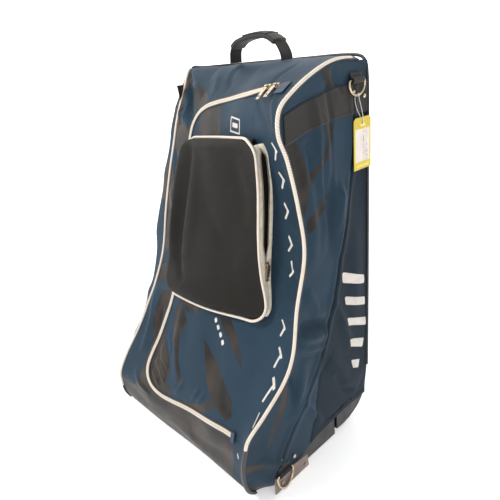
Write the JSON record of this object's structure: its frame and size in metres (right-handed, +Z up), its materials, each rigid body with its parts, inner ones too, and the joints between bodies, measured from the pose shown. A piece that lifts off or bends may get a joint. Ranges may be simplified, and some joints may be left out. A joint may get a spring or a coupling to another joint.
{
  "type": "hockey equipment bag",
  "caption": "Tall standing soft equipment bag with a zipped front door, front pocket, edge piping, D-rings, wrapped top handle, rear wheels and fold-up shelves inside.",
  "frame": {"origin": "centre of the bounding box's bottom face, on the floor", "axes": "+Z up along the bag's height, -Y out of the front with the door, +X to the viewer's right when facing the front"},
  "size_m": [0.6142, 0.4614, 0.9827],
  "materials": {
    "printed_fabric": "woven polyester with a soft sheen",
    "black_fabric": "woven polyester, matte",
    "webbing": "flat woven webbing",
    "cream_piping": "twisted piping cord",
    "black_piping": "piping cord, slightly glossy",
    "zip_tape": "zip tape with coil",
    "navy_tab": "folded fabric tab",
    "nickel": "satin nickel plated",
    "steel": "plain steel",
    "taupe_plastic": "smooth moulded",
    "black_plastic": "moulded, fine grain",
    "board": "flat sheet",
    "hub_plastic": "moulded",
    "tyre_rubber": "matte rubber",
    "tag_card": "printed card",
    "string": "thin twine"
  },
  "bodies": {
    "bag": {"right_front_strip": "printed_fabric", "left_front_strip": "printed_fabric", "top_front_panel": "printed_fabric", "right_side_panel": "printed_fabric", "left_side_panel": "printed_fabric", "lower_front_panel": "black_fabric", "back_panel": "black_fabric", "right_side_band": "webbing", "left_side_band": "webbing", "right_upper_ring_tab": "webbing", "right_lower_ring_tab": "webbing", "right_piping": "cream_piping", "left_piping": "cream_piping", "right_base_piping": "black_piping", "back_top_binding": "black_piping", "main_zip_tape_body": "zip_tape", "right_back_stay": "steel", "left_back_stay": "steel", "right_axle": "steel", "left_axle": "steel", "right_lower_bracket": "taupe_plastic", "left_lower_bracket": "taupe_plastic", "right_base_runner": "taupe_plastic", "left_base_runner": "taupe_plastic", "base_tray": "black_plastic", "rear_guard": "black_plastic", "right_wheel_housing": "black_plastic", "left_wheel_housing": "black_plastic", "back_board": "board", "base_board": "board"},
    "front_door": {"front_door_panel": "printed_fabric", "main_zip_tape_door": "zip_tape", "pocket_panel": "black_fabric", "pocket_piping": "cream_piping", "pocket_zip_tape_front": "zip_tape", "pocket_zip_tape_door": "zip_tape", "second_zip_slider": "nickel", "zip_end_tab_upper": "navy_tab", "zip_end_tab_lower": "navy_tab"},
    "pocket_slider_body": {"pocket_slider": "nickel"},
    "pocket_pull": {"pocket_zip_pull": "nickel"},
    "main_slider_body": {"main_zip_slider": "nickel"},
    "main_pull": {"main_zip_pull": "nickel"},
    "second_pull": {"second_zip_pull": "nickel"},
    "right_wheel": {"right_wheel_hub": "hub_plastic", "right_wheel_tyre": "tyre_rubber"},
    "left_wheel": {"left_wheel_hub": "hub_plastic", "left_wheel_tyre": "tyre_rubber"},
    "right_upper_ring_body": {"right_upper_ring": "nickel"},
    "right_lower_ring_body": {"right_lower_ring": "nickel"},
    "handle": {"handle_strap": "webbing", "handle_sleeve": "webbing"},
    "tag": {"hang_tag": "tag_card", "tag_string": "string"},
    "upper_shelf_body": {"upper_shelf": "board"},
    "lower_shelf_body": {"lower_shelf": "board"}
  },
  "joints": [
    {"name": "front_door_hinge", "type": "hinge", "parent": "bag", "child": "front_door", "pos_m": [0.24744, -0.21152, 0.15], "axis": [0.0066, 0.2972, 0.9548], "range_deg": [0, 50]},
    {"name": "main_zip_slide", "type": "slide", "parent": "front_door", "child": "main_slider_body", "axis": [-0.9911, 0.047, -0.1245], "range_m": [0, 0.015]},
    {"name": "main_pull_hinge", "type": "hinge", "parent": "main_slider_body", "child": "main_pull", "pos_m": [0.18222, 0.02477, 0.8768], "axis": [-0.9917, 0.0413, -0.122], "range_deg": [0, 95]},
    {"name": "second_pull_hinge", "type": "hinge", "parent": "front_door", "child": "second_pull", "pos_m": [0.20587, 0.0242, 0.87984], "axis": [-0.9945, 0.0431, -0.0959], "range_deg": [0, 95]},
    {"name": "pocket_zip_slide", "type": "slide", "parent": "front_door", "child": "pocket_slider_body", "axis": [-0.028, 0.1413, 0.9896], "range_m": [0, 0.03]},
    {"name": "pocket_pull_hinge", "type": "hinge", "parent": "pocket_slider_body", "child": "pocket_pull", "pos_m": [0.20118, -0.02509, 0.5049], "axis": [0, -0.9664, 0.2571], "range_deg": [0, 90]},
    {"name": "right_wheel_spin", "type": "hinge", "parent": "bag", "child": "right_wheel", "pos_m": [0.23644, 0.15848, 0.04], "axis": [1, 0, 0], "continuous": true},
    {"name": "left_wheel_spin", "type": "hinge", "parent": "bag", "child": "left_wheel", "pos_m": [-0.24356, 0.15848, 0.04], "axis": [1, 0, 0], "continuous": true},
    {"name": "right_upper_ring_swing", "type": "hinge", "parent": "bag", "child": "right_upper_ring_body", "pos_m": [0.30184, 0.16948, 0.873], "axis": [0, -1, 0], "range_deg": [0, 100]},
    {"name": "right_lower_ring_swing", "type": "hinge", "parent": "bag", "child": "right_lower_ring_body", "pos_m": [0.30184, -0.12652, 0.051], "axis": [0, -1, 0], "range_deg": [0, 100]},
    {"name": "tag_swing", "type": "hinge", "parent": "right_upper_ring_body", "child": "tag", "pos_m": [0.30184, 0.16948, 0.843], "axis": [1, 0, 0], "range_deg": [-15, 24]},
    {"name": "handle_sway", "type": "hinge", "parent": "bag", "child": "handle", "pos_m": [0.00644, 0.19648, 0.926], "axis": [1, 0, 0], "range_deg": [-14, 14]},
    {"name": "upper_shelf_fold", "type": "hinge", "parent": "bag", "child": "upper_shelf_body", "pos_m": [0.01444, 0.20088, 0.563], "axis": [-1, 0, 0], "range_deg": [0, 85]},
    {"name": "lower_shelf_fold", "type": "hinge", "parent": "bag", "child": "lower_shelf_body", "pos_m": [0.01444, 0.20088, 0.336], "axis": [-1, 0, 0], "range_deg": [0, 85]}
  ]
}
